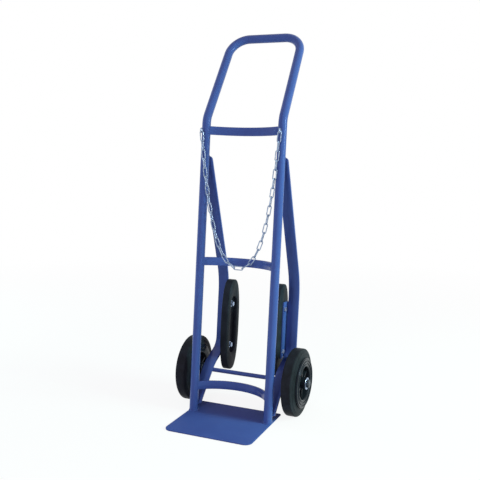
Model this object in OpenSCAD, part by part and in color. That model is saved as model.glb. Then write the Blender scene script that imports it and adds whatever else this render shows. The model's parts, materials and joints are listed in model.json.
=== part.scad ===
// Gas cylinder trolley: a bent tube frame with three curved cross bars, a toe plate,
// two bent flat stays that carry the axle, two wheels, two stair skids and a safety chain.
// The front faces -Y, the wheels lie towards +Y, and Z = 0 is the floor.

/* [Frame tube] */
// Outside diameter of the frame tube
tube_d = 26; // [22:1:28]
// Wall of the frame tube
tube_wall = 2; // [1.5:0.5:3]
// Distance between the centre lines of the uprights
upright_spacing = 240; // [225:1:260]
// Lean of the uprights back from the vertical, in degrees
lean = 5.3; // [4.5:0.1:5.8]
// Length of an upright from the toe plate to the bend below the handle
upright_length = 875; // [850:5:950]
// Angle by which the handle turns further back, in degrees
handle_angle = 30; // [20:1:36]
// Length of the handle from its bend to the middle of the grip
handle_length = 304; // [260:1:340]
// Turn of the handle's sides towards each other, about the uprights, in degrees
handle_turn = 2; // [0.5:0.1:4]
// Centre-line radius of the bends in the tube
tube_bend_r = 58; // [45:1:65]
// Thinning of each face of the tube's wall where it is bent
bend_thinning = 0.05; // [0.03:0.01:0.2]

/* [Cross bars] */
// Height of a cross bar
bar_h = 25; // [20:1:30]
// Thickness of a cross bar
bar_t = 6; // [4:0.5:8]
// Depth of the cradle that the middle and lower bars form for the cylinder
cradle_depth = 55; // [45:1:60]
// Depth of the upper bar, which is bent less
upper_depth = 36; // [25:1:60]
// Drop of the upper bar's top edge below the bend of the handle
upper_bar_drop = 22; // [20:1:60]
// Height of the middle bar's top edge along the uprights
middle_bar_top = 465; // [430:5:560]
// Height of the lower bar's top edge along the uprights
lower_bar_top = 89; // [80:1:110]

/* [Toe plate] */
// Inset of the toe plate's sides from the outer sides of the uprights
plate_inset = 0.5; // [-10:0.5:2]
// Reach of the toe plate in front of the uprights' feet
plate_front = 167; // [120:1:200]
// Reach of the toe plate behind the uprights' feet
plate_back = 80; // [50:1:90]
// Thickness of the toe plate
plate_t = 4; // [3:0.5:6]
// Radius of the front corners of the toe plate
plate_corner_r = 22; // [8:1:30]
// Radius of the rear corners of the toe plate
plate_rear_r = 5; // [3:1:30]

/* [Stays] */
// Width of the flat bar of a stay
stay_w = 34; // [28:1:36]
// Thickness of the flat bar of a stay
stay_t = 6; // [5:0.5:8]
// Distance of the stays' straight run behind the uprights' centre lines
stay_back = 180; // [172:1:190]
// Height of a stay's top end along the uprights
stay_top = 766; // [720:2:800]
// Height of the bend above the straight run
stay_shoulder = 392; // [370:1:410]
// Height of the bend below the straight run
stay_knee = 171; // [168:1:182]
// Radius of the bend above the straight run
stay_shoulder_r = 220; // [120:5:260]
// Radius of the bend below the straight run
stay_knee_r = 45; // [30:1:50]
// Height at which the middle of a stay's thickness meets its upright's back
stay_foot = 19; // [17:1:22]
// Height of a stay's lower end along the upright
stay_end = 19; // [17:1:21]
// Radius of the corners at a stay's top end
stay_corner_r = 9; // [4:1:12]
// Depth to which the axle is let into the back of a stay
axle_sink = 2.5; // [1:0.5:4]

/* [Wheels] */
// Diameter of a wheel over its tyre
wheel_d = 202; // [194:1:210]
// Distance of the axle behind the uprights' feet
axle_setback = 104; // [98:0.5:106]
// Diameter of the axle
axle_d = 13; // [12:0.5:16]
// Radial play of a wheel's bush on the axle
axle_play = 0.05; // [0.02:0.01:0.1]
// Wall of a wheel's bush
bush_wall = 2.5; // [2:0.5:4]
// Length of a wheel's hub
hub_w = 60; // [58:1:68]
// Wall of a wheel's hub
hub_wall = 8; // [5:0.5:10]
// End play of a hub between its washers
hub_play = 0.5; // [0.3:0.1:1]
// Width of the tyre across its shoulders
tyre_w = 30; // [26:1:34]
// Radius of the tyre's shoulders
shoulder_r = 4; // [4:0.5:8]
// Diameter of the edge at which the tyre's tread meets its sides
edge_d = 178; // [170:1:180]
// Width of the tyre across those edges
edge_w = 36; // [35:0.5:38]
// Diameter of the seat on which the tyre sits
seat_d = 118; // [110:1:124]
// Width of the seat between the rim's flanges
seat_w = 40; // [38:1:42]
// Diameter of the rim's flanges
flange_d = 148; // [140:1:152]
// Thickness of a rim's outer flange
flange_t = 7; // [5:0.5:8]
// Thickness of a rim's inner flange
back_flange_t = 1.5; // [1:0.5:8]
// Diameter of the recess in each side of the rim
recess_d = 98; // [88:1:102]
// Thickness of the rim's web at the bottom of the recess
web_t = 12; // [8:1:20]
// Number of ribs in each recess
rib_count = 6; // [4:1:8]
// Thickness of a rib
rib_t = 5; // [3:0.5:8]
// Depth of the ribs' edges below the rim's flanges
rib_drop = 9; // [6:0.5:12]
// Number of ring grooves in a rim flange
groove_count = 2; // [1:1:3]
// Width of a ring groove in a rim flange
groove_w = 3; // [2:0.5:4]
// Depth of a ring groove in a rim flange
groove_depth = 2; // [1:0.5:3]

/* [Axle fittings] */
// Thickness of an axle washer
axle_washer_t = 3; // [1.5:0.5:4]
// Diameter of an axle washer
axle_washer_d = 36; // [28:1:38]
// Height of an axle nut
axle_nut_h = 7; // [6:0.5:13]
// Width of an axle nut across its flats
axle_nut_af = 22; // [20:1:26]
// Length of thread that shows past an axle nut
axle_end = 1; // [0.5:0.5:6]

/* [Skids] */
// Length of a stair skid
skid_l = 287; // [250:1:300]
// Depth of a stair skid from front to back
skid_depth = 92; // [76:1:96]
// Thickness of a stair skid
skid_t = 23; // [16:1:24]
// Height of a skid's middle along the uprights
skid_mid = 244; // [238:1:250]
// Distance of a skid's middle in front of the stay's middle
skid_ahead = 21; // [18:0.5:24]
// Length of the slot in a skid's inner face
slot_l = 180; // [150:1:190]
// Width of the slot in a skid's inner face
slot_w = 44; // [28:1:48]
// Depth of the slot in a skid's inner face
slot_depth = 10; // [8:0.5:12]
// Distance between the two bolts of a skid
skid_bolt_pitch = 131; // [110:1:140]
// Thickness of the angle that holds a skid
angle_t = 4; // [3:0.5:5]
// Length of the angle that holds a skid
angle_l = 176; // [160:1:190]
// Reach of the angle's skid leg in front of the bolts
angle_reach = 9.5; // [8:0.5:14]
// Width of the angle's leg on the back of the stay
angle_leg = 28; // [20:1:34]
// Distance of an angle's outer face inside the inner edge of its stay
angle_inset = 4; // [3:0.5:8]
// Diameter of a skid bolt
bolt_d = 8; // [6:1:8]
// Height of a skid bolt's head
bolt_head_h = 5.3; // [4:0.1:6]
// Height of a skid bolt's nut
bolt_nut_h = 6.5; // [5:0.1:7]
// Width of a skid bolt's head and nut across the flats
bolt_af = 13; // [11:0.5:14]
// Thickness of a skid washer
bolt_washer_t = 1.6; // [1:0.1:2]
// Diameter of a skid washer
bolt_washer_d = 20; // [17:1:24]
// Clearance of a bolt in its holes, across the diameter
bolt_clearance = 0.5; // [0.3:0.1:1]

/* [Chain] */
// Diameter of the chain's wire
wire_d = 3; // [2.5:0.1:3.2]
// Pitch of the chain
link_pitch = 26.4; // [24:0.2:28]
// Outside width of a link
link_w = 13; // [12:0.5:14]
// Number of links
link_count = 33; // [31:2:35]
// Slack between one link and the next
link_slack = 0.8; // [0.7:0.05:0.9]
// Height of the chain's eyes along the uprights
eye_height = 838; // [815:1:850]
// Diameter of the wire of a chain eye
eye_wire_d = 4; // [3.5:0.1:4.5]
// Radius of a chain eye to the middle of its wire
eye_r = 6; // [5.5:0.1:7]
// Distance of a chain eye's centre in front of the tube
eye_standoff = 14.5; // [14:0.5:18]
// Distance of a chain eye outside the centre line of its upright
eye_out = 2; // [0:0.5:2.5]
// Gap between a chain eye and the link that hangs on it
eye_gap = 0.3; // [0.2:0.05:0.5]

/* [Hidden] */
$fn = 96;
half = upright_spacing / 2;
bend_lap = 1;
end_lap = 0.6;
tube_r = tube_d / 2;
wheel_r = wheel_d / 2;
plate_w = upright_spacing + tube_d - 2 * plate_inset;

// How far the handle's sides lean inwards, and how the corners of the grip lie
inward = sin(handle_angle) * sin(handle_turn);
corner_angle = acos(inward);
corner_turn = atan2(cos(handle_turn), cos(handle_angle) * sin(handle_turn));

// The axle, seen from the leaning frame: back from the uprights and up along them
axle_b = axle_setback * cos(lean) - (wheel_r - plate_t) * sin(lean);
axle_u = axle_setback * sin(lean) + (wheel_r - plate_t) * cos(lean);

// A bar's front meets its upright 25 degrees round from the tube's inner side
bar_end_x = half - tube_r * cos(25);
bar_end_b = -tube_r * sin(25);
function cradle_r(depth) = (pow(bar_end_x, 2) + pow(depth, 2)) / (2 * depth);

// Places across the trolley, from its middle plane out to an axle end
stay_out = half + stay_w / 2;
hub_in = stay_out + axle_washer_t + hub_play;
hub_mid = hub_in + hub_w / 2;
hub_out = hub_in + hub_w;
nut_in = hub_out + hub_play + axle_washer_t;
bush_r = axle_d / 2 + axle_play + bush_wall;
hub_r = bush_r + hub_wall;

// The skid's bolts, and the faces that they hold together
bolt_b = stay_back - skid_ahead;
angle_out = half - stay_w / 2 - angle_inset;
skid_out = angle_out - angle_t;
slot_floor = skid_out - skid_t + slot_depth;

// The stay's path from the foot of the upright's back to its top, as [back, up]
foot = [tube_r, stay_foot];
axle_run = [axle_b, axle_u] - foot;
axle_behind = (axle_d + stay_t) / 2 - axle_sink;
run_turn = asin(axle_behind / norm(axle_run));
lower_run = [
    axle_run[0] * cos(run_turn) - axle_run[1] * sin(run_turn),
    axle_run[0] * sin(run_turn) + axle_run[1] * cos(run_turn)
];
stay_path = [
    foot - 0.2 * lower_run,
    foot + 1.15 * lower_run,
    [stay_back, stay_knee],
    [stay_back, stay_shoulder],
    [tube_r, stay_top] + 0.05 * [tube_r - stay_back, stay_top - stay_shoulder]
];
stay_radii = [0, 2 * stay_knee_r, stay_knee_r, stay_shoulder_r, 0];

// The chain's links hang at slopes that grow evenly from the lowest link
link_r = (link_w - wire_d) / 2;
last_link = (link_count - 1) / 2;
chain_span = upright_spacing + 2 * eye_out;

function steep(k, step) = 1 / sqrt(1 + pow(k * step, 2));
function sum(v, i = 0) = i < len(v) ? v[i] + sum(v, i + 1) : 0;
function reach(step) = link_pitch * sum([for (k = [-last_link : last_link]) steep(k, step)]);
function hang(low, high, rounds) =
    let (middle = (low + high) / 2)
    rounds == 0 ? middle
    : reach(middle) > chain_span ? hang(middle, high, rounds - 1)
    : hang(low, middle, rounds - 1);

slope_step = hang(0.05, 5, 40);
link_angles = [for (k = [-last_link : last_link]) atan(k * slope_step)];

// Each link's middle along the chain, from the left eye, as [across, up]
function link_middle(i) =
    i == 0 ? link_pitch / 2 * [cos(link_angles[0]), sin(link_angles[0])]
    : link_middle(i - 1) + link_pitch / 2 * [
        cos(link_angles[i - 1]) + cos(link_angles[i]),
        sin(link_angles[i - 1]) + sin(link_angles[i])
    ];

// The chain eye's centre, and the height at which the end links' wire hangs in it
eye_b = -tube_r - eye_standoff;
eye_y = eye_b * cos(lean) + eye_height * sin(lean);
eye_z = plate_t + eye_height * cos(lean) - eye_b * sin(lean);
hang_z = eye_z - eye_r + (eye_wire_d + wire_d) / 2 + eye_gap;

paint = [0.22, 0.35, 0.64];
zinc = [0.78, 0.8, 0.82];
black_rubber = [0.1, 0.1, 0.11];
black_plastic = [0.14, 0.15, 0.17];

// Draws its children in the leaning frame: X across, Y back, Z up along the uprights
module in_frame() {
    translate([0, 0, plate_t])
        rotate([-lean, 0, 0])
            children();
}

// Draws its children, made for the right-hand side, on the right (1) or the left (-1)
module on_side(side) {
    mirror([side < 0 ? 1 : 0, 0, 0])
        children();
}

// Draws a shape that is given as [back, up] across a width, starting at x
module across(x, width) {
    translate([x, 0, 0])
        rotate([90, 0, 90])
            linear_extrude(width)
                children();
}

// A cylinder along X, from x outwards
module rod(x, length, d) {
    translate([x, 0, 0])
        rotate([0, 90, 0])
            cylinder(d = d, h = length);
}

// A hexagon along X, from x outwards
module hexagon(x, length, flats) {
    translate([x, 0, 0])
        rotate([0, 90, 0])
            cylinder(d = flats / cos(30), h = length, $fn = 6);
}

// Everything below the top of the toe plate, to well past the trolley
module below_plate_top() {
    translate([-upright_spacing, -upright_length, plate_t - upright_length])
        cube([2 * upright_spacing, 2 * upright_length, upright_length]);
}

module tube_section(thinning = 0) {
    difference() {
        circle(d = tube_d - 2 * thinning);
        circle(d = tube_d - 2 * tube_wall + 2 * thinning);
    }
}

// A straight run along +Z, which laps over the bends at its ends
module tube_run(length) {
    translate([0, 0, -bend_lap])
        linear_extrude(length + 2 * bend_lap)
            tube_section();
}

// A bend that starts at the origin along +Z and turns towards +Y
module tube_bend(angle) {
    translate([0, tube_bend_r, 0])
        rotate([0, -90, 0])
            rotate([0, 0, -90])
                rotate_extrude(angle = angle)
                    translate([tube_bend_r, 0])
                        tube_section(bend_thinning);
}

// Draws its children where such a bend ends
module past_bend(angle) {
    translate([0, tube_bend_r, 0])
        rotate([-angle, 0, 0])
            translate([0, -tube_bend_r, 0])
                children();
}

// One upright and one side of the handle, with the grip past its corner or without
module tube_side(with_grip) {
    lower_setback = tube_bend_r * tan(handle_angle / 2);
    upper_setback = tube_bend_r * tan(corner_angle / 2);
    straight = handle_length - lower_setback - upper_setback;
    grip = upright_spacing - 2 * (handle_length * inward + upper_setback);
    translate([half, 0, -tube_d])
        tube_run(upright_length - lower_setback + tube_d);
    translate([half, 0, upright_length - lower_setback])
        rotate([0, 0, handle_turn]) {
            tube_bend(handle_angle);
            past_bend(handle_angle) {
                tube_run(straight);
                translate([0, 0, straight])
                    rotate([0, 0, corner_turn]) {
                        tube_bend(corner_angle);
                        if (with_grip)
                            past_bend(corner_angle)
                                tube_run(grip);
                    }
            }
        }
}

module frame_tube() {
    color(paint)
        difference() {
            in_frame() {
                tube_side(true);
                on_side(-1)
                    tube_side(false);
            }
            below_plate_top();
        }
}

// A flat bar bent into a cradle between the uprights, which its ends are coped to
module cross_bar(top, depth) {
    color(paint)
        in_frame()
            translate([0, 0, top - bar_h])
                linear_extrude(bar_h)
                    difference() {
                        intersection() {
                            translate([0, bar_end_b + depth - cradle_r(depth)])
                                difference() {
                                    circle(r = cradle_r(depth) + bar_t);
                                    circle(r = cradle_r(depth));
                                }
                            translate([-bar_end_x - end_lap, -tube_d])
                                square([2 * (bar_end_x + end_lap), depth + bar_t + tube_d]);
                        }
                        for (side = [-1, 1])
                            translate([side * half, 0])
                                circle(d = tube_d);
                    }
}

module upper_cross_bar() {
    cross_bar(upright_length - upper_bar_drop, upper_depth);
}

module middle_cross_bar() {
    cross_bar(middle_bar_top, cradle_depth);
}

module lower_cross_bar() {
    cross_bar(lower_bar_top, cradle_depth);
}

// One end of the toe plate, with round corners
module plate_end(r) {
    translate([r - plate_w / 2, 0])
        square([plate_w - 2 * r, 2 * r]);
    for (side = [-1, 1])
        translate([side * (plate_w / 2 - r), r])
            circle(r = r);
}

module toe_plate() {
    depth = plate_front + plate_back;
    color(paint)
        linear_extrude(plate_t)
            union() {
                translate([-plate_w / 2, plate_corner_r - plate_front])
                    square([plate_w, depth - plate_corner_r - plate_rear_r]);
                translate([0, -plate_front])
                    plate_end(plate_corner_r);
                translate([0, plate_back])
                    mirror([0, 1, 0])
                        plate_end(plate_rear_r);
            }
}

function unit(v) = v / norm(v);
function heading(path, i) = unit(path[i + 1] - path[i]);
function turn(path, i) = acos(heading(path, i - 1) * heading(path, i));
function setback(path, radii, i) =
    radii[i] == 0 ? 0 : radii[i] * tan(turn(path, i) / 2);

// A strip of even thickness along straight runs, joined by round bends
module bent_strip(path, radii, thick) {
    for (i = [0 : len(path) - 2]) {
        ahead = heading(path, i);
        aside = [-ahead[1], ahead[0]] * thick / 2;
        from = path[i] + ahead * setback(path, radii, i);
        to = path[i + 1] - ahead * setback(path, radii, i + 1);
        polygon([from - aside, to - aside, to + aside, from + aside]);
    }
    for (i = [1 : len(path) - 2]) {
        inward = unit(heading(path, i) - heading(path, i - 1));
        centre = path[i] + inward * radii[i] / cos(turn(path, i) / 2);
        first = path[i] - heading(path, i - 1) * setback(path, radii, i) - centre;
        last = path[i] + heading(path, i) * setback(path, radii, i) - centre;
        translate(centre)
            intersection() {
                difference() {
                    circle(r = radii[i] + thick / 2);
                    circle(r = radii[i] - thick / 2);
                }
                polygon([[0, 0], 2 * first, 2 * last]);
            }
    }
}

// What a stay's ends lose: the corners of the top, and what would stand in the upright
module stay_waste() {
    past = stay_back;
    translate([half, 0, -past])
        cylinder(d = tube_d, h = stay_top + 2 * past);
    translate([half - stay_w, -past, -past])
        cube([2 * stay_w, past, stay_top + 2 * past]);
    translate([half - stay_w, -past, stay_end - past])
        cube([2 * stay_w, 2 * past, past]);
    translate([half - stay_w, 0, stay_top])
        cube([2 * stay_w, past, past]);
    for (side = [-1, 1])
        translate([half + side * (stay_w / 2 - stay_corner_r), past, stay_top - stay_corner_r])
            rotate([90, 0, 0])
                linear_extrude(2 * past)
                    difference() {
                        translate([side < 0 ? -stay_corner_r - 1 : 0, 0])
                            square(stay_corner_r + 1);
                        circle(r = stay_corner_r);
                    }
}

// A stay: a bent flat bar down the upright's back, with the axle let into its own back
module stay() {
    color(paint)
        in_frame()
            difference() {
                across(half - stay_w / 2, stay_w)
                    difference() {
                        bent_strip(stay_path, stay_radii, stay_t);
                        translate([axle_b, axle_u])
                            circle(d = axle_d);
                    }
                stay_waste();
            }
}

module left_stay() {
    on_side(-1)
        stay();
}

module right_stay() {
    on_side(1)
        stay();
}

module at_axle() {
    translate([0, axle_setback, wheel_r])
        children();
}

module axle() {
    length = 2 * (nut_in + axle_nut_h + axle_end);
    color(paint)
        at_axle()
            rod(-length / 2, length, axle_d);
}

// Turns a profile, given as [radius, across], about the axle, centred on a hub
module turned() {
    at_axle()
        translate([hub_mid, 0, 0])
            rotate([0, 90, 0])
                rotate_extrude()
                    children();
}

// A rectangle of a turned profile, from one radius to another, centred on the hub
module band(inner_r, outer_r, width) {
    translate([inner_r, -width / 2])
        square([outer_r - inner_r, width]);
}

// The tyre: a flat tread with round shoulders, and sides that widen towards the rim
module tyre() {
    crown = tyre_w - 2 * shoulder_r;
    shoulder = wheel_r - shoulder_r;
    color(black_rubber)
        turned()
            union() {
                polygon([
                    [seat_d / 2, -seat_w / 2],
                    [flange_d / 2, -seat_w / 2],
                    [edge_d / 2, -edge_w / 2],
                    [shoulder, -tyre_w / 2],
                    [shoulder, tyre_w / 2],
                    [edge_d / 2, edge_w / 2],
                    [flange_d / 2, seat_w / 2],
                    [seat_d / 2, seat_w / 2]
                ]);
                band(shoulder, wheel_r, crown);
                for (side = [-1, 1])
                    translate([shoulder, side * crown / 2])
                        circle(r = shoulder_r);
            }
}

// The moulded rim: hub, web with ribs, seat, and two flanges, the outer one with ring grooves
module rim() {
    groove_step = (flange_d - recess_d) / 2 / (groove_count + 1);
    flange_out = seat_w / 2 + flange_t;
    flange_in = seat_w / 2 + back_flange_t;
    rib_w = 2 * (flange_out - rib_drop);
    rib_l = recess_d / 2 - hub_r + 2;
    color(black_plastic) {
        turned()
            difference() {
                union() {
                    band(bush_r, hub_r, hub_w);
                    band(bush_r, seat_d / 2, web_t);
                    translate([recess_d / 2, -flange_in])
                        square([(seat_d - recess_d) / 2, flange_in + flange_out]);
                    translate([0, (seat_w + flange_t) / 2])
                        band(recess_d / 2, flange_d / 2, flange_t);
                    translate([0, -(seat_w + back_flange_t) / 2])
                        band(recess_d / 2, flange_d / 2, back_flange_t);
                }
                for (i = [1 : groove_count])
                    translate([recess_d / 2 + i * groove_step, flange_out])
                        square([groove_w, 2 * groove_depth], center = true);
            }
        at_axle()
            for (i = [0 : rib_count - 1])
                rotate([i * 360 / rib_count, 0, 0])
                    translate([hub_mid - rib_w / 2, -rib_t / 2, hub_r - 1])
                        cube([rib_w, rib_t, rib_l]);
    }
}

// The bush that turns on the axle
module bush() {
    color(zinc)
        turned()
            band(axle_d / 2 + axle_play, bush_r, hub_w);
}

module axle_washer(x) {
    difference() {
        rod(x, axle_washer_t, axle_washer_d);
        rod(x - 1, axle_washer_t + 2, axle_d);
    }
}

module axle_washers() {
    color(zinc)
        at_axle() {
            axle_washer(stay_out);
            axle_washer(hub_out + hub_play);
        }
}

module axle_nut() {
    color(zinc)
        at_axle()
            difference() {
                hexagon(nut_in, axle_nut_h, axle_nut_af);
                rod(nut_in - 1, axle_nut_h + 2, axle_d);
            }
}

module left_tyre() {
    on_side(-1)
        tyre();
}

module right_tyre() {
    on_side(1)
        tyre();
}

module left_rim() {
    on_side(-1)
        rim();
}

module right_rim() {
    on_side(1)
        rim();
}

module left_bush() {
    on_side(-1)
        bush();
}

module right_bush() {
    on_side(1)
        bush();
}

module left_axle_washers() {
    on_side(-1)
        axle_washers();
}

module right_axle_washers() {
    on_side(1)
        axle_washers();
}

module left_axle_nut() {
    on_side(-1)
        axle_nut();
}

module right_axle_nut() {
    on_side(1)
        axle_nut();
}

// Draws its children, which lie along X, at both bolts of a skid
module at_skid_bolts() {
    in_frame()
        for (end = [-1, 1])
            translate([0, bolt_b, skid_mid + end * skid_bolt_pitch / 2])
                children();
}

// The angle: one leg on the back of the stay, the other beside the skid
module skid_angle() {
    stay_rear = stay_back + stay_t / 2;
    front = bolt_b - angle_reach;
    color(paint)
        difference() {
            in_frame()
                translate([angle_out - angle_t, 0, skid_mid - angle_l / 2])
                    union() {
                        translate([0, front, 0])
                            cube([angle_t, stay_rear + angle_t - front, angle_l]);
                        translate([0, stay_rear, 0])
                            cube([angle_leg, angle_t, angle_l]);
                    }
            at_skid_bolts()
                rod(skid_out - 1, angle_t + 2, bolt_d + bolt_clearance);
        }
}

// Outline of a skid: a long oval, fuller than an ellipse
function oval_power(c) = sign(c) * pow(abs(c), 0.8);
function oval(l, w) = [for (t = [0 : 4 : 356]) [w / 2 * oval_power(cos(t)), l / 2 * oval_power(sin(t))]];

module obround(l, w) {
    square([w, l - w], center = true);
    for (end = [-1, 1])
        translate([0, end * (l - w) / 2])
            circle(d = w);
}

// The stair skid, with a slot in its inner face for the nuts
module skid() {
    color(black_rubber)
        difference() {
            in_frame()
                difference() {
                    across(skid_out - skid_t, skid_t)
                        translate([bolt_b, skid_mid])
                            polygon(oval(skid_l, skid_depth));
                    across(slot_floor - 2 * slot_depth, 2 * slot_depth)
                        translate([bolt_b, skid_mid])
                            obround(slot_l, slot_w);
                }
            at_skid_bolts()
                rod(skid_out - skid_t - 1, skid_t + 2, bolt_d + bolt_clearance);
        }
}

module skid_bolts() {
    tip = slot_floor - bolt_washer_t - bolt_nut_h - 1;
    color(zinc)
        at_skid_bolts()
            union() {
                rod(tip, angle_out - tip + bolt_head_h / 2, bolt_d);
                hexagon(angle_out, bolt_head_h, bolt_af);
            }
}

module skid_washers() {
    color(zinc)
        at_skid_bolts()
            difference() {
                rod(slot_floor - bolt_washer_t, bolt_washer_t, bolt_washer_d);
                rod(slot_floor - bolt_washer_t - 1, bolt_washer_t + 2, bolt_d + bolt_clearance);
            }
}

module skid_nuts() {
    nut_x = slot_floor - bolt_washer_t - bolt_nut_h;
    color(zinc)
        at_skid_bolts()
            difference() {
                hexagon(nut_x, bolt_nut_h, bolt_af);
                rod(nut_x - 1, bolt_nut_h + 2, bolt_d);
            }
}

module left_skid_angle() {
    on_side(-1)
        skid_angle();
}

module right_skid_angle() {
    on_side(1)
        skid_angle();
}

module left_skid() {
    on_side(-1)
        skid();
}

module right_skid() {
    on_side(1)
        skid();
}

module left_skid_bolts() {
    on_side(-1)
        skid_bolts();
}

module right_skid_bolts() {
    on_side(1)
        skid_bolts();
}

module left_skid_washers() {
    on_side(-1)
        skid_washers();
}

module right_skid_washers() {
    on_side(1)
        skid_washers();
}

module left_skid_nuts() {
    on_side(-1)
        skid_nuts();
}

module right_skid_nuts() {
    on_side(1)
        skid_nuts();
}

// A chain eye: a ring on a short shank, coped to the front of the upright
module chain_eye() {
    color(zinc)
        in_frame()
            translate([half, 0, eye_height])
                difference() {
                    translate([eye_out, 0, 0]) {
                        translate([0, eye_b, 0])
                            rotate([0, 90, 0])
                                rotate_extrude()
                                    translate([eye_r, 0])
                                        circle(d = eye_wire_d);
                        translate([0, eye_b + eye_r, 0])
                            rotate([-90, 0, 0])
                                cylinder(d = eye_wire_d, h = eye_standoff - eye_r + tube_r / 2);
                    }
                    translate([0, 0, -eye_standoff])
                        cylinder(d = tube_d, h = 2 * eye_standoff);
                }
}

module left_chain_eye() {
    on_side(-1)
        chain_eye();
}

module right_chain_eye() {
    on_side(1)
        chain_eye();
}

// One link along X, lying in the XZ plane
module link() {
    straight = link_pitch + link_slack + wire_d - 2 * link_r;
    for (end = [-1, 1]) {
        translate([0, 0, end * link_r])
            rod(-straight / 2, straight, wire_d);
        translate([end * straight / 2, 0, 0])
            rotate([90, 0, 0])
                rotate_extrude(angle = 180, start = end < 0 ? 90 : -90)
                    translate([link_r, 0])
                        circle(d = wire_d);
    }
}

// Every second link of the chain, turned about its own length
module chain_links(first, roll) {
    top = hang_z - (wire_d + link_slack) / 2;
    color(zinc)
        for (i = [first : 2 : link_count - 1])
            translate([link_middle(i)[0] - chain_span / 2, eye_y, top + link_middle(i)[1]])
                rotate([0, -link_angles[i], 0])
                    rotate([roll, 0, 0])
                        link();
}

module chain_flat_links() {
    chain_links(0, 0);
}

module chain_edge_links() {
    chain_links(1, 90);
}

frame_tube();
upper_cross_bar();
middle_cross_bar();
lower_cross_bar();
toe_plate();
left_stay();
right_stay();
axle();
left_tyre();
right_tyre();
left_rim();
right_rim();
left_bush();
right_bush();
left_axle_washers();
right_axle_washers();
left_axle_nut();
right_axle_nut();
left_skid_angle();
right_skid_angle();
left_skid();
right_skid();
left_skid_bolts();
right_skid_bolts();
left_skid_washers();
right_skid_washers();
left_skid_nuts();
right_skid_nuts();
left_chain_eye();
right_chain_eye();
chain_flat_links();
chain_edge_links();
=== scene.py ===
import json
import math
import random

import bpy
from mathutils import Matrix, Vector


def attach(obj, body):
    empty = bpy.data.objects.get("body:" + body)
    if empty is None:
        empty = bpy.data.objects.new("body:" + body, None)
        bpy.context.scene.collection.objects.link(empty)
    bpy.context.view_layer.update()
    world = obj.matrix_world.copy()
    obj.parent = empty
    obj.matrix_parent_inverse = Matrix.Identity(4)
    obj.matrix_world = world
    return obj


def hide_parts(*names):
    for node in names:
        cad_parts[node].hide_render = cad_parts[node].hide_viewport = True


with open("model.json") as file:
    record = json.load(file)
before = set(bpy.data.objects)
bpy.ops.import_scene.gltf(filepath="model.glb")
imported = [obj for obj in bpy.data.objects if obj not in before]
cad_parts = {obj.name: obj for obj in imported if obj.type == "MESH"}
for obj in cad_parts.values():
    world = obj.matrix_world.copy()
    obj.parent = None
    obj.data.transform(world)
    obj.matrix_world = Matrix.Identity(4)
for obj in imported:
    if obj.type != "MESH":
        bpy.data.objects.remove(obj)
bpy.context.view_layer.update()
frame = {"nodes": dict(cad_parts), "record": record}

# Sizes of the trolley in mm, as in the part's own source: R is a radius, W a width, H a height, T a thickness
MM = 0.001
LEAN = math.radians(5.3)
PLATE_T = 4.0
HALF_SPACING = 120.0
TUBE_R = 13.0
BAR_H = 25.0
BAR_T = 6.0
# Height of the top edge of each cross bar, and how far the bar is bent back
BAR_TOPS = {"upper": (853.0, 36.0), "middle": (465.0, 55.0), "lower": (89.0, 55.0)}
# Where a bar meets its upright, as a turn round the tube
BAR_END_TURN = math.radians(25)
STAY_W = 34.0
STAY_T = 6.0
STAY_BACK = 180.0
STAY_TOP = 766.0
STAY_FOOT = 19.0
STAY_END = 19.0
AXLE_Y = 104.0
AXLE_Z = 101.0
AXLE_R = 6.5
AXLE_SINK = 2.5
AXLE_END = 1.0
HUB_W = 60.0
HUB_PLAY = 0.5
WASHER_T = 3.0
WASHER_R = 18.0
NUT_H = 7.0
NUT_FLATS = 22.0
SKID_MID = 244.0
ANGLE_T = 4.0
ANGLE_LEG = 28.0
ANGLE_INSET = 4.0
EYE_OUT = 2.0
EYE_HEIGHT = 838.0

# Places across the trolley that follow from these
STAY_IN = HALF_SPACING - STAY_W / 2
STAY_OUT = HALF_SPACING + STAY_W / 2
HUB_IN = STAY_OUT + WASHER_T + HUB_PLAY
HUB_MID = HUB_IN + HUB_W / 2
HUB_OUT = HUB_IN + HUB_W
NUT_IN = HUB_OUT + HUB_PLAY + WASHER_T
AXLE_TIP = NUT_IN + NUT_H + AXLE_END
ANGLE_EDGE = STAY_IN - ANGLE_INSET - ANGLE_T + ANGLE_LEG
WHEEL_AT = Vector((HUB_MID, AXLE_Y, AXLE_Z)) * MM

SIDES = {"left": -1, "right": 1}


def leaning(across, back, up):
    """A point across, back from and up along the uprights, in mm, as a place in metres."""
    y = back * math.cos(LEAN) + up * math.sin(LEAN)
    z = PLATE_T + up * math.cos(LEAN) - back * math.sin(LEAN)
    return Vector((across, y, z)) * MM


# Finishes

def linear(hex_colour):
    """An sRGB hex colour as the linear colour that a shader takes."""
    channels = [int(hex_colour[i:i + 2], 16) / 255 for i in (1, 3, 5)]
    return [c / 12.92 if c <= 0.04045 else ((c + 0.055) / 1.055) ** 2.4 for c in channels] + [1.0]


def add(tree, kind, settings=None, links=None):
    """Adds one node, sets its values and links its inputs."""
    made = tree.nodes.new(kind)
    for name, value in (settings or {}).items():
        if isinstance(name, int) or name in made.inputs:
            made.inputs[name].default_value = value
        else:
            setattr(made, name, value)
    for name, source in (links or {}).items():
        tree.links.new(source, made.inputs[name])
    return made


def new_finish(name):
    """An empty material with its shader, its surface output and Object coordinates."""
    finish = bpy.data.materials.new(name)
    finish.use_nodes = True
    tree = finish.node_tree
    tree.nodes.clear()
    shader = add(tree, "ShaderNodeBsdfPrincipled")
    add(tree, "ShaderNodeOutputMaterial", links={"Surface": shader.outputs["BSDF"]})
    place = add(tree, "ShaderNodeTexCoord").outputs["Object"]
    return finish, tree, shader, place


def per_metre(size_mm):
    """Scale of a noise whose lumps are about this wide."""
    return 1000.0 / size_mm


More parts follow.
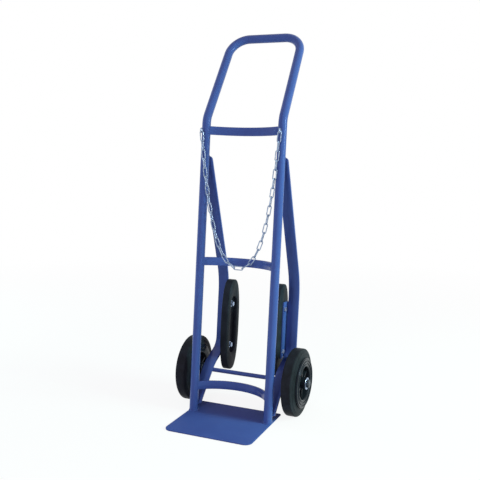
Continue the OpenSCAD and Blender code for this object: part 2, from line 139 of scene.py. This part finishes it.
def blue_powder_coat(name, low, high, sheen):
    """Polyester powder baked on steel: an even blue with a fine orange peel that softens its gloss."""
    finish, tree, shader, place = new_finish(name)
    cloud = add(tree, "ShaderNodeTexNoise", {"Scale": per_metre(90), "Detail": 3.0}, {"Vector": place})
    tone = add(tree, "ShaderNodeValToRGB", links={"Fac": cloud.outputs["Fac"]})
    tone.color_ramp.elements[0].position = 0.3
    tone.color_ramp.elements[0].color = linear("#40508F")
    tone.color_ramp.elements[1].position = 0.7
    tone.color_ramp.elements[1].color = linear("#455797")
    tree.links.new(tone.outputs["Color"], shader.inputs["Base Color"])
    # Orange peel lies about 1.5 mm apart, and is drawn at 4 mm so that it shows in the render
    peel = add(tree, "ShaderNodeTexNoise", {"Scale": per_metre(4), "Detail": 2.0}, {"Vector": place})
    bump = add(tree, "ShaderNodeBump", {"Strength": 0.04, "Distance": 0.8 * MM},
               {"Height": peel.outputs["Fac"]})
    tree.links.new(bump.outputs["Normal"], shader.inputs["Normal"])
    gloss = add(tree, "ShaderNodeMapRange", {"To Min": low, "To Max": high},
                {"Value": cloud.outputs["Fac"]})
    tree.links.new(gloss.outputs["Result"], shader.inputs["Roughness"])
    shader.inputs["IOR"].default_value = 1.5
    shader.inputs["Specular IOR Level"].default_value = sheen
    # The blue specular tint is a painted reflection: it colours every reflection and highlight on the paint
    # blue, as if a blue room were mirrored
    shader.inputs["Specular Tint"].default_value = linear("#8C9CC8")
    return finish


def zinc_plating(name, dark, pale, low, high):
    """Zinc plating on steel: a cool white metal with faint cloudy patches and a fine grain."""
    finish, tree, shader, place = new_finish(name)
    cloud = add(tree, "ShaderNodeTexNoise", {"Scale": per_metre(8), "Detail": 4.0}, {"Vector": place})
    tone = add(tree, "ShaderNodeValToRGB", links={"Fac": cloud.outputs["Fac"]})
    tone.color_ramp.elements[0].position = 0.35
    tone.color_ramp.elements[0].color = linear(dark)
    tone.color_ramp.elements[1].position = 0.65
    tone.color_ramp.elements[1].color = linear(pale)
    tree.links.new(tone.outputs["Color"], shader.inputs["Base Color"])
    grain = add(tree, "ShaderNodeTexNoise", {"Scale": per_metre(1.5), "Detail": 2.0}, {"Vector": place})
    rough = add(tree, "ShaderNodeMapRange", {"To Min": low, "To Max": high},
                {"Value": cloud.outputs["Fac"]})
    tree.links.new(rough.outputs["Result"], shader.inputs["Roughness"])
    bump = add(tree, "ShaderNodeBump", {"Strength": 0.08, "Distance": 0.3 * MM},
               {"Height": grain.outputs["Fac"]})
    tree.links.new(bump.outputs["Normal"], shader.inputs["Normal"])
    shader.inputs["Metallic"].default_value = 1.0
    return finish


def black_moulding(name, dark, pale, low, high, grain_mm, depth_mm, sheen):
    """A black moulded surface: its grain, and the dust and rub marks that make it greyer in places."""
    finish, tree, shader, place = new_finish(name)
    cloud = add(tree, "ShaderNodeTexNoise", {"Scale": per_metre(35), "Detail": 5.0, "Roughness": 0.6},
                {"Vector": place})
    tone = add(tree, "ShaderNodeValToRGB", links={"Fac": cloud.outputs["Fac"]})
    tone.color_ramp.elements[0].position = 0.35
    tone.color_ramp.elements[0].color = linear(dark)
    tone.color_ramp.elements[1].position = 0.75
    tone.color_ramp.elements[1].color = linear(pale)
    tree.links.new(tone.outputs["Color"], shader.inputs["Base Color"])
    rough = add(tree, "ShaderNodeMapRange", {"To Min": low, "To Max": high},
                {"Value": cloud.outputs["Fac"]})
    tree.links.new(rough.outputs["Result"], shader.inputs["Roughness"])
    grain = add(tree, "ShaderNodeTexNoise", {"Scale": per_metre(grain_mm), "Detail": 3.0},
                {"Vector": place})
    bump = add(tree, "ShaderNodeBump", {"Strength": 0.2, "Distance": depth_mm * MM},
               {"Height": grain.outputs["Fac"]})
    tree.links.new(bump.outputs["Normal"], shader.inputs["Normal"])
    shader.inputs["IOR"].default_value = 1.5
    shader.inputs["Specular IOR Level"].default_value = sheen
    # The pale blue specular tint is a painted highlight colour: it makes every highlight and reflection on
    # the black pale blue
    shader.inputs["Specular Tint"].default_value = linear("#B4C8E6")
    return finish


# The frame's paint has a clear gloss; on the plate it is scuffed matt by feet and cylinders
PAINT = blue_powder_coat("blue_powder_coat", 0.14, 0.22, 0.36)
SCUFFED_PAINT = blue_powder_coat("scuffed_powder_coat", 0.55, 0.7, 0.04)
# New bright plating, on the chain, its eyes, the bushes and the outer washers
ZINC = zinc_plating("bright_zinc", "#7E90AB", "#AEC0D8", 0.2, 0.32)
# Bright plating with a soft haze, on the fastenings of the skids; its pale blue tint is a painted reflection
# of the blue paint around the bolt heads
HAZY_ZINC = zinc_plating("hazy_zinc", "#9DB0CC", "#C2D2EA", 0.4, 0.55)
# Zinc plating drawn much darker than the bright zinc, on the axle's nuts, threads and inner washers
DARK_ZINC = zinc_plating("dark_zinc", "#3C454B", "#59636A", 0.3, 0.45)
# Vulcanised solid rubber from a mould: a soft black sheen, dusty in places
TYRE = black_moulding("solid_tyre_rubber", "#212125", "#2C2D35", 0.32, 0.44, 1.6, 0.08, 0.02)
# Injection-moulded nylon: a darker, glossier black than the rubber
RIM = black_moulding("moulded_rim_nylon", "#1A1B21", "#242730", 0.1, 0.18, 1.2, 0.02, 0.12)
# Moulded hard rubber: a flat, even black
SKID = black_moulding("moulded_skid_rubber", "#212329", "#2D3039", 0.34, 0.46, 1.8, 0.08, 0.03)

SLOT_FINISHES = {
    "blue_paint": PAINT,
    "zinc_plate": ZINC,
    "tyre_rubber": TYRE,
    "rim_plastic": RIM,
    "skid_rubber": SKID,
}

for part in frame["record"]["subparts"]:
    solid = frame["nodes"][part["node"]]
    for held in solid.material_slots:
        held.link = "OBJECT"
        held.material = SLOT_FINISHES[part["material_slot"]]


# Ways of making pieces

# Points this near, in metres, are joined, and faces turned this little are made one flat face
MEETING_POINTS = 1e-6
FLAT_WITHIN = math.radians(0.3)


def arc(first, last, count):
    """Evenly spaced angles between two, given in degrees, as radians."""
    return [math.radians(first + (last - first) * i / (count - 1)) for i in range(count)]


def clear_selection():
    """Leaves edit mode and lets go of everything."""
    if bpy.context.mode != "OBJECT":
        bpy.ops.object.mode_set(mode="OBJECT")
    bpy.ops.object.select_all(action="DESELECT")


def take(piece):
    """Makes a piece the only one selected, and the active one."""
    clear_selection()
    piece.select_set(True)
    bpy.context.view_layer.objects.active = piece


def apply_all(piece):
    """Applies a piece's modifiers in order."""
    take(piece)
    for modifier in list(piece.modifiers):
        bpy.ops.object.modifier_apply(modifier=modifier.name)


def settle(piece):
    """Puts a piece's place into its mesh, so that its object sits at the origin."""
    take(piece)
    bpy.ops.object.transform_apply(location=True, rotation=True, scale=True)


def tidy_mesh():
    """In edit mode: joins points that meet, and turns all faces outwards."""
    bpy.ops.mesh.select_all(action="SELECT")
    bpy.ops.mesh.remove_doubles(threshold=MEETING_POINTS)
    bpy.ops.mesh.normals_make_consistent(inside=False)


def smooth(piece, degrees):
    """Shades a piece's round faces as one, and keeps edges sharper than an angle."""
    take(piece)
    bpy.ops.object.shade_smooth_by_angle(angle=math.radians(degrees))


def ease_edges(piece, width_mm, segments=2, above=35):
    """Rounds every edge sharper than an angle."""
    easing = piece.modifiers.new("easing", "BEVEL")
    easing.width = width_mm * MM
    easing.segments = segments
    easing.limit_method = "ANGLE"
    easing.angle_limit = math.radians(above)
    easing.use_clamp_overlap = False
    apply_all(piece)


def fit(piece, name, finish, body, slot, *nodes):
    """Names a finished piece, gives it its finish, hangs it on what carries it and hides the parts it stands
    in for.
    """
    piece.name = name
    piece.data.name = name
    piece.data.materials.clear()
    piece.data.materials.append(finish)
    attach(piece, body)
    if nodes:
        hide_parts(*nodes)
    return piece


def eased_copy(node, width_mm, segments=2):
    """A copy of a solid's mesh with its flat faces made whole and its edges rounded."""
    piece = bpy.data.objects.new(node + "_piece", frame["nodes"][node].data.copy())
    bpy.context.scene.collection.objects.link(piece)
    take(piece)
    bpy.ops.mesh.customdata_custom_splitnormals_clear()
    bpy.ops.object.mode_set(mode="EDIT")
    bpy.ops.mesh.select_all(action="SELECT")
    bpy.ops.mesh.remove_doubles(threshold=MEETING_POINTS)
    bpy.ops.mesh.dissolve_limited(angle_limit=FLAT_WITHIN)
    bpy.ops.object.mode_set(mode="OBJECT")
    ease_edges(piece, width_mm, segments)
    smooth(piece, 40)
    return piece


def turned(profile, middle_mm, steps, closed=True):
    """Turns a profile, given as (radius, across) in mm, about the axle's line."""
    clear_selection()
    bpy.ops.mesh.primitive_plane_add(size=MM)
    piece = bpy.context.object
    centre = Vector((0, AXLE_Y, AXLE_Z)) * MM
    points = [centre + Vector((middle_mm + across, 0, radius)) * MM for radius, across in profile]
    # One point is left of the plane, and the profile is drawn out from it
    bpy.ops.object.mode_set(mode="EDIT")
    bpy.ops.mesh.select_all(action="SELECT")
    bpy.ops.mesh.merge(type="CENTER")
    bpy.ops.transform.translate(value=points[0])
    if closed:
        points.append(points[0])
    for here, there in zip(points, points[1:]):
        bpy.ops.mesh.extrude_vertices_move(TRANSFORM_OT_translate={"value": there - here})
    bpy.ops.mesh.select_all(action="SELECT")
    bpy.ops.mesh.remove_doubles(threshold=MEETING_POINTS)
    bpy.ops.mesh.select_all(action="SELECT")
    bpy.ops.mesh.spin(steps=steps, angle=2 * math.pi, center=centre, axis=(1, 0, 0))
    tidy_mesh()
    bpy.ops.object.mode_set(mode="OBJECT")
    return piece


def mirrored(piece):
    """A copy of a piece on the other side of the trolley."""
    other = bpy.data.objects.new(piece.name + "_copy", piece.data.copy())
    bpy.context.scene.collection.objects.link(other)
    take(other)
    bpy.ops.object.mode_set(mode="EDIT")
    bpy.ops.mesh.select_all(action="SELECT")
    bpy.ops.transform.resize(value=(-1, 1, 1), center_override=(0, 0, 0))
    tidy_mesh()
    bpy.ops.object.mode_set(mode="OBJECT")
    return other


def both_hands(piece, degrees):
    """A right-hand piece and its copy for the left, by side, both shaded smooth."""
    hands = {"left": mirrored(piece), "right": piece}
    for hand in hands.values():
        smooth(hand, degrees)
    return hands


def combine(piece, tool, operation):
    """Cuts, joins or crosses a piece with a tool, which is then thrown away."""
    work = piece.modifiers.new("work", "BOOLEAN")
    work.operation = operation
    work.object = tool
    work.solver = "EXACT"
    apply_all(piece)
    bpy.data.objects.remove(tool)


# Wheels

def both_sides(half):
    """A profile given from the middle out to one side, with its other side added."""
    return half + [(radius, -across) for radius, across in reversed(half)]


def make_tyre():
    """Solid tyre: beaded foot, slightly hollow wall, a crisp edge and a flat tread with round shoulders."""
    wall = [
        (59.0, 19.4), (73.6, 20.0), (75.2, 20.7), (76.6, 20.5), (77.4, 19.6), (79.0, 19.0),
        (82.0, 18.5), (85.0, 18.2), (87.0, 18.1), (88.2, 18.4), (89.2, 18.2), (89.8, 17.4),
    ]
    # The wheels stand on the floor, so the tread lies as far out as the axle lies high
    tread_r = AXLE_Z
    shoulder_r = 4.0
    shoulder = [
        (tread_r - shoulder_r * (1 - math.sin(a)), 11.0 + shoulder_r * math.cos(a)) for a in arc(0, 90, 7)
    ]
    crown = [(tread_r, 6.0), (tread_r, 0.7), (tread_r - 0.2, 0.4)]
    return turned(both_sides(wall + shoulder + crown), HUB_MID, 128)


def make_rim():
    """Moulded rim: hub, web, deep recesses with ribs, three rounded rings outside, a flat flange inside."""
    face = HUB_W / 2
    hub = [
        (9.05, face), (16.2, face), (17.05, face - 0.8), (18.2, 7.0), (19.4, 6.0), (46.6, 6.0), (47.6, 7.0),
    ]
    outer = [
        (49.0, 22.8), (49.6, 24.6), (50.6, 25.8), (52.0, 26.5), (53.4, 26.6), (54.8, 26.2),
        (55.8, 25.2), (56.2, 24.2), (58.4, 24.2), (58.8, 25.2), (59.8, 26.4), (61.4, 26.9),
        (63.0, 26.5), (64.1, 25.4), (64.6, 24.2), (66.8, 24.2), (67.2, 25.3), (68.4, 26.6),
        (70.2, 27.0), (72.0, 26.7), (73.3, 25.6), (74.0, 23.8), (74.0, 21.4), (73.3, 20.3),
        (59.0, 19.9),
    ]
    inner = [
        (49.0, 19.6), (49.6, 20.8), (50.8, 21.4), (60.0, 21.5), (60.6, 21.0), (62.4, 21.0),
        (63.0, 21.5), (72.8, 21.5), (73.7, 21.2), (74.0, 20.6), (73.5, 20.1), (59.0, 19.9),
    ]
    back = [(radius, -across) for radius, across in reversed(hub + inner)]
    piece = turned(hub + outer + back, HUB_MID, 96)
    combine(piece, make_ribs(), "UNION")
    return piece


def make_ribs():
    """Six plates between the hub and the rim, thinner towards their open edges."""
    count = 6
    foot_r, head_r = 15.5, 49.6
    half_w, thickness = 18.0, 5.8
    edge_share = 0.7
    clear_selection()
    bpy.ops.mesh.primitive_cube_add(size=1, location=WHEEL_AT + Vector((0, 0, (foot_r + head_r) / 2)) * MM)
    rib = bpy.context.object
    rib.scale = Vector((2 * half_w, thickness, head_r - foot_r)) * MM
    settle(rib)
    bpy.ops.object.mode_set(mode="EDIT")
    bpy.ops.mesh.select_all(action="SELECT")
    bpy.ops.mesh.bisect(plane_co=WHEEL_AT, plane_no=(1, 0, 0))
    bpy.ops.mesh.select_all(action="DESELECT")
    bpy.ops.object.mode_set(mode="OBJECT")
    for corner in rib.data.vertices:
        corner.select = abs(corner.co.x / MM - HUB_MID) > half_w / 2
    bpy.ops.object.mode_set(mode="EDIT")
    bpy.ops.transform.resize(value=(1, edge_share, 1), center_override=WHEEL_AT)
    bpy.ops.object.mode_set(mode="OBJECT")
    ease_edges(rib, 0.8, 2, 40)
    ribs = [rib]
    for i in range(1, count):
        other = bpy.data.objects.new("rib", rib.data.copy())
        bpy.context.scene.collection.objects.link(other)
        take(other)
        bpy.ops.object.mode_set(mode="EDIT")
        bpy.ops.mesh.select_all(action="SELECT")
        bpy.ops.transform.rotate(value=2 * math.pi * i / count, orient_axis="X", center_override=WHEEL_AT)
        bpy.ops.object.mode_set(mode="OBJECT")
        ribs.append(other)
    clear_selection()
    for other in ribs:
        other.select_set(True)
    bpy.context.view_layer.objects.active = rib
    bpy.ops.object.join()
    return rib


for side, tyre in both_hands(make_tyre(), 32).items():
    fit(tyre, side + "_tyre_moulding", TYRE, side + "_wheel", "tyre_rubber", side + "_tyre")
for side, rim in both_hands(make_rim(), 30).items():
    fit(rim, side + "_rim_moulding", RIM, side + "_wheel", "rim_plastic", side + "_rim")


# Plate, bars, stays, angles and skids, with the edges that the real ones have

BAR_EASING = 0.8
ANGLE_EASING = 0.6
SKID_EASING = 2.2
BOLT_EASING = 0.4
BOLT_SETS = {"_skid_bolts": "_bolt_pair", "_skid_nuts": "_nut_pair", "_skid_washers": "_washer_pair"}

fit(eased_copy("toe_plate", BAR_EASING), "toe_plate_sheet", SCUFFED_PAINT, "frame", "blue_paint", "toe_plate")

for node, easing in (
    [(name + "_cross_bar", BAR_EASING) for name in BAR_TOPS]
    + [(side + "_stay", BAR_EASING) for side in SIDES]
    + [(side + "_skid_angle", ANGLE_EASING) for side in SIDES]
):
    fit(eased_copy(node, easing), node + "_bar", PAINT, "frame", "blue_paint", node)

for side in SIDES:
    skid = side + "_skid"
    fit(eased_copy(skid, SKID_EASING, 3), skid + "_moulding", SKID, "frame", "skid_rubber", skid)
    for node, name in BOLT_SETS.items():
        fit(eased_copy(side + node, BOLT_EASING), side + name, HAZY_ZINC, "frame", "zinc_plate", side + node)


# Axle washers and nuts

def make_washer(inner_mm):
    """A flat ring with worn edges."""
    bore_r = AXLE_R + 0.2
    return turned([
        (bore_r, 0), (WASHER_R - 0.5, 0), (WASHER_R, 0.5), (WASHER_R, WASHER_T - 0.8),
        (WASHER_R - 0.8, WASHER_T), (bore_r, WASHER_T),
    ], inner_mm, 64)


for side, washer in both_hands(make_washer(HUB_OUT + HUB_PLAY), 35).items():
    fit(washer, side + "_outer_washer", ZINC, "frame", "zinc_plate", side + "_axle_washers")
for side, washer in both_hands(make_washer(STAY_OUT), 35).items():
    fit(washer, side + "_inner_washer", DARK_ZINC, "frame", "zinc_plate")


def make_nut():
    """A hexagon with chamfered corners and a bore."""
    corner_r = NUT_FLATS / 2 / math.cos(math.radians(30))
    bore_r = AXLE_R - 0.4
    half_h = NUT_H / 2
    middle = NUT_IN + half_h
    clear_selection()
    bpy.ops.mesh.primitive_cylinder_add(
        vertices=6, radius=corner_r * MM, depth=NUT_H * MM, rotation=(0, math.pi / 2, 0),
        location=Vector((middle, AXLE_Y, AXLE_Z)) * MM,
    )
    piece = bpy.context.object
    settle(piece)
    flat_r = 0.48 * NUT_FLATS
    past_r = corner_r + 0.2
    drop = (corner_r - flat_r) * math.tan(math.radians(30))
    chamfers = turned([
        (bore_r, -NUT_H), (bore_r, NUT_H), (flat_r, NUT_H), (flat_r, half_h), (past_r, half_h - drop),
        (past_r, drop - half_h), (flat_r, -half_h), (flat_r, -NUT_H),
    ], middle, 72)
    combine(piece, chamfers, "INTERSECT")
    ease_edges(piece, 0.25, 2, 20)
    return piece


for side, nut in both_hands(make_nut(), 25).items():
    fit(nut, side + "_hexagon_nut", DARK_ZINC, "frame", "zinc_plate", side + "_axle_nut")


# Axle: a painted bar with plated threads at its ends

def make_axle():
    """A round bar from hub to hub."""
    bar = turned([(0, 0), (AXLE_R, 0), (AXLE_R, 2 * HUB_OUT), (0, 2 * HUB_OUT)], -HUB_OUT, 48, closed=False)
    smooth(bar, 35)
    return bar


def make_thread():
    """Threaded end with a chamfered tip."""
    pitch, depth = 1.75, 0.55
    crest_r = AXLE_R - 0.1
    profile = [(0, HUB_OUT), (crest_r, HUB_OUT)]
    across = HUB_OUT + 0.4
    while across < AXLE_TIP - 1.6:
        profile += [(crest_r, across), (crest_r - depth, across + pitch / 2)]
        across += pitch
    profile += [(AXLE_R - 0.2, AXLE_TIP - 0.9), (AXLE_R - 1.2, AXLE_TIP), (0, AXLE_TIP)]
    return turned(profile, 0, 48, closed=False)


fit(make_axle(), "axle_bar", PAINT, "frame", "blue_paint", "axle")
for side, thread in both_hands(make_thread(), 40).items():
    fit(thread, side + "_axle_thread", DARK_ZINC, "frame", "zinc_plate")


# Welds

SEAM_R = TUBE_R + 0.4
SEAM_INSET = 2.0
BEAD_LIFT = 0.6
puddles = random.Random(7)


def weld(name, paths, bead_r):
    """Beads of overlapping puddles along paths of points, run together."""
    clear_selection()
    for point in [point for path in paths for point in path]:
        puddle_r = bead_r * puddles.uniform(0.93, 1.07) * MM
        spot = point + Vector([puddles.uniform(-0.15, 0.15) * MM for _ in range(3)])
        bpy.ops.mesh.primitive_ico_sphere_add(subdivisions=2, radius=puddle_r, location=spot)
        # The first puddle starts the piece, and the others are added to it in edit mode
        if bpy.context.mode == "OBJECT":
            settle(bpy.context.object)
            bpy.ops.object.mode_set(mode="EDIT")
    bpy.ops.object.mode_set(mode="OBJECT")
    piece = bpy.context.object
    skin = piece.modifiers.new("skin", "REMESH")
    skin.mode = "VOXEL"
    skin.voxel_size = 0.28 * bead_r * MM
    soft = piece.modifiers.new("soft", "SMOOTH")
    soft.factor = 0.5
    soft.iterations = 4
    apply_all(piece)
    bpy.ops.object.shade_smooth()
    return fit(piece, name, PAINT, "frame", "blue_paint")


def run(start, end, step_mm=1.7):
    """Points from one end of a weld to the other."""
    count = max(2, round((end - start).length / MM / step_mm))
    return [start.lerp(end, i / count) for i in range(count + 1)]


def ring(count, place):
    """Points of a weld that closes on itself."""
    return [place(2 * math.pi * i / count) for i in range(count)]


def round_upright(side, angle, up):
    """A point on the skin of an upright, at an angle round it."""
    return leaning(side * HALF_SPACING + SEAM_R * math.cos(angle), SEAM_R * math.sin(angle), up)


def meeting(cradle_r, cradle_b):
    """Where a bar's round face meets the right-hand tube, as (across, back)."""
    gap = math.hypot(HALF_SPACING, cradle_b)
    along = (cradle_r ** 2 - TUBE_R ** 2 + gap ** 2) / (2 * gap)
    aside = math.sqrt(cradle_r ** 2 - along ** 2)
    out = Vector((HALF_SPACING, -cradle_b)) / gap
    turn = Vector((-out.y, out.x))
    spots = [Vector((0, cradle_b)) + out * along + turn * aside * s for s in (-1, 1)]
    return min(spots, key=lambda spot: spot.x)


for name, (top, depth) in BAR_TOPS.items():
    end_x = HALF_SPACING - TUBE_R * math.cos(BAR_END_TURN)
    end_b = -TUBE_R * math.sin(BAR_END_TURN)
    front_r = (end_x ** 2 + depth ** 2) / (2 * depth)
    middle_b = end_b + depth - front_r
    seams = []
    for side in SIDES.values():
        for r in (front_r, front_r + BAR_T):
            spot = meeting(r, middle_b)
            low, high = top - BAR_H + SEAM_INSET, top - SEAM_INSET
            seams.append(run(leaning(side * spot.x, spot.y, low), leaning(side * spot.x, spot.y, high)))
    weld(name + "_bar_welds", seams, bead_r=1.5)

weld("upright_foot_welds", [
    ring(48, lambda a: round_upright(side, a, SEAM_R * math.sin(a) * math.tan(LEAN) + 0.4))
    for side in SIDES.values()
], bead_r=1.7)

weld("stay_top_welds", [
    [round_upright(side, a, STAY_TOP + BEAD_LIFT) for a in arc(38, 142, 15)] for side in SIDES.values()
], bead_r=1.5)

weld("stay_foot_welds", [
    [round_upright(side, a, STAY_END - 0.8) for a in arc(35, 145, 16)] for side in SIDES.values()
], bead_r=1.5)

STITCH_L = 24.0
STITCH_PITCH = 70.0
stay_rear = STAY_BACK + STAY_T / 2 + BEAD_LIFT
weld("skid_angle_welds", [
    run(leaning(side * ANGLE_EDGE, stay_rear, SKID_MID + up - STITCH_L / 2),
        leaning(side * ANGLE_EDGE, stay_rear, SKID_MID + up + STITCH_L / 2))
    for side in SIDES.values() for up in (-STITCH_PITCH, 0, STITCH_PITCH)
], bead_r=1.7)

# The axle lies in a shallow seat in the back of each stay's lower run
axle_at = Vector((
    AXLE_Y * math.cos(LEAN) - (AXLE_Z - PLATE_T) * math.sin(LEAN),
    AXLE_Y * math.sin(LEAN) + (AXLE_Z - PLATE_T) * math.cos(LEAN),
))
to_axle = axle_at - Vector((TUBE_R, STAY_FOOT))
seat_turn = math.asin((AXLE_R + STAY_T / 2 - AXLE_SINK) / to_axle.length)
along_run = (Matrix.Rotation(seat_turn, 2) @ to_axle).normalized()
off_run = Vector((-along_run.y, along_run.x))
seat_half = math.sqrt(AXLE_R ** 2 - (AXLE_R - AXLE_SINK) ** 2)
seat_edges = [
    axle_at + (AXLE_R - AXLE_SINK - BEAD_LIFT) * off_run + way * (seat_half + BEAD_LIFT) * along_run
    for way in (-1, 1)
]
weld("axle_welds", [
    run(leaning(side * (STAY_IN + 1), *edge), leaning(side * (STAY_OUT - 1), *edge))
    for side in SIDES.values() for edge in seat_edges
], bead_r=1.4)

EYE_SEAM_R = 2.3
weld("chain_eye_welds", [
    ring(9, lambda a: leaning(side * (HALF_SPACING + EYE_OUT) + EYE_SEAM_R * math.cos(a), -TUBE_R,
                              EYE_HEIGHT + EYE_SEAM_R * math.sin(a)))
    for side in SIDES.values()
], bead_r=0.9)


# Floor, light and camera

def seen_rays(tree):
    """1 for rays from the camera and for reflections, 0 for light that is scattered."""
    path = add(tree, "ShaderNodeLightPath")
    shiny = add(tree, "ShaderNodeMath", {"operation": "MAXIMUM"},
                {0: path.outputs["Is Camera Ray"], 1: path.outputs["Is Glossy Ray"]})
    return add(tree, "ShaderNodeMath", {"operation": "MAXIMUM"},
               {0: shiny.outputs[0], 1: path.outputs["Is Transmission Ray"]}).outputs[0]


def make_floor():
    """A pale floor that is white to the eye and keeps the trolley's shadow."""
    gap_mm = 0.4
    clear_selection()
    bpy.ops.mesh.primitive_plane_add(size=30, location=(0, 0, -gap_mm * MM))
    floor = bpy.context.object
    floor.name = "floor"
    finish = bpy.data.materials.new("pale_floor")
    finish.use_nodes = True
    tree = finish.node_tree
    tree.nodes.clear()
    grey = add(tree, "ShaderNodeBsdfDiffuse", {"Color": linear("#CCCCCC")})
    white = add(tree, "ShaderNodeBsdfDiffuse", {"Color": linear("#FAFAFA")})
    glow = add(tree, "ShaderNodeEmission", {"Color": (1, 1, 1, 1), "Strength": 1.0})
    place = add(tree, "ShaderNodeTexCoord").outputs["Object"]
    away = add(tree, "ShaderNodeVectorMath", {"operation": "LENGTH"}, {0: place})
    share = add(tree, "ShaderNodeMapRange", {"From Min": 0.7, "From Max": 3.0, "To Min": 0.88},
                {"Value": away.outputs["Value"]})
    pale = add(tree, "ShaderNodeMixShader",
               links={0: share.outputs[0], 1: white.outputs[0], 2: glow.outputs[0]})
    both = add(tree, "ShaderNodeMixShader",
               links={0: seen_rays(tree), 1: grey.outputs[0], 2: pale.outputs[0]})
    add(tree, "ShaderNodeOutputMaterial", links={"Surface": both.outputs[0]})
    floor.data.materials.append(finish)


def add_lamp(name, place, aim, size, energy, colour, mirrored_too=True):
    """A soft lamp at a place, turned towards a point, which shiny surfaces may mirror or not."""
    lamp = bpy.data.lights.new(name, "AREA")
    lamp.shape = "RECTANGLE"
    lamp.size, lamp.size_y = size
    lamp.energy = energy
    lamp.color = colour
    holder = bpy.data.objects.new(name, lamp)
    bpy.context.scene.collection.objects.link(holder)
    holder.visible_glossy = mirrored_too
    holder.location = place
    holder.rotation_euler = (Vector(aim) - Vector(place)).to_track_quat("-Z", "Y").to_euler()


def make_light():
    """A soft room, white behind the trolley: a lamp on the right, and fills from right, left and front."""
    world = bpy.data.worlds.new("studio")
    world.use_nodes = True
    tree = world.node_tree
    tree.nodes.clear()
    room = add(tree, "ShaderNodeBackground", {"Color": (1.0, 0.8, 0.96, 1), "Strength": 0.46})
    white = add(tree, "ShaderNodeBackground", {"Color": (1, 1, 1, 1), "Strength": 1.0})
    both = add(tree, "ShaderNodeMixShader",
               links={0: seen_rays(tree), 1: room.outputs[0], 2: white.outputs[0]})
    add(tree, "ShaderNodeOutputWorld", links={"Surface": both.outputs[0]})
    bpy.context.scene.world = world
    middle = (0, 0.05, 0.55)
    add_lamp("right_softbox", (2.7, 0.2, 1.45), middle, (0.7, 1.0), 42, (0.8, 1.0, 1.0))
    add_lamp("right_fill", (2.8, 0.2, 1.3), middle, (1.1, 1.4), 68, (0.28, 1.0, 0.7), False)
    add_lamp("left_softbox", (-2.7, 0.1, 0.8), (0, 0.05, 0.6), (0.8, 1.2), 36, (0.36, 1.0, 0.92), False)
    add_lamp("front_softbox", (0.2, -2.3, 1.0), (0, 0.1, 0.5), (0.4, 0.8), 16, (0.9, 1.0, 1.0), False)


def make_camera():
    """The photograph's viewpoint: azimuth 23.3 degrees, 7.9 degrees down, a slight roll."""
    azimuth, down, roll = (math.radians(a) for a in (23.273, 7.879, -0.665))
    level = Vector((-math.sin(azimuth), math.cos(azimuth), 0))
    forward = math.cos(down) * level - Vector((0, 0, math.sin(down)))
    right = Vector((math.cos(azimuth), math.sin(azimuth), 0))
    below = forward.cross(right)
    across = math.cos(roll) * right + math.sin(roll) * below
    lower = math.cos(roll) * below - math.sin(roll) * right
    stand = (0.8309, -1.8707, 0.8137)
    camera = bpy.data.cameras.new("camera")
    camera.sensor_width = 36
    camera.lens = 54.134
    holder = bpy.data.objects.new("camera", camera)
    bpy.context.scene.collection.objects.link(holder)
    turn = Matrix((across, -lower, -forward)).transposed()
    holder.matrix_world = Matrix.Translation(stand) @ turn.to_4x4()
    bpy.context.scene.camera = holder


make_floor()
make_light()
make_camera()
bpy.context.scene.view_settings.view_transform = "Standard"
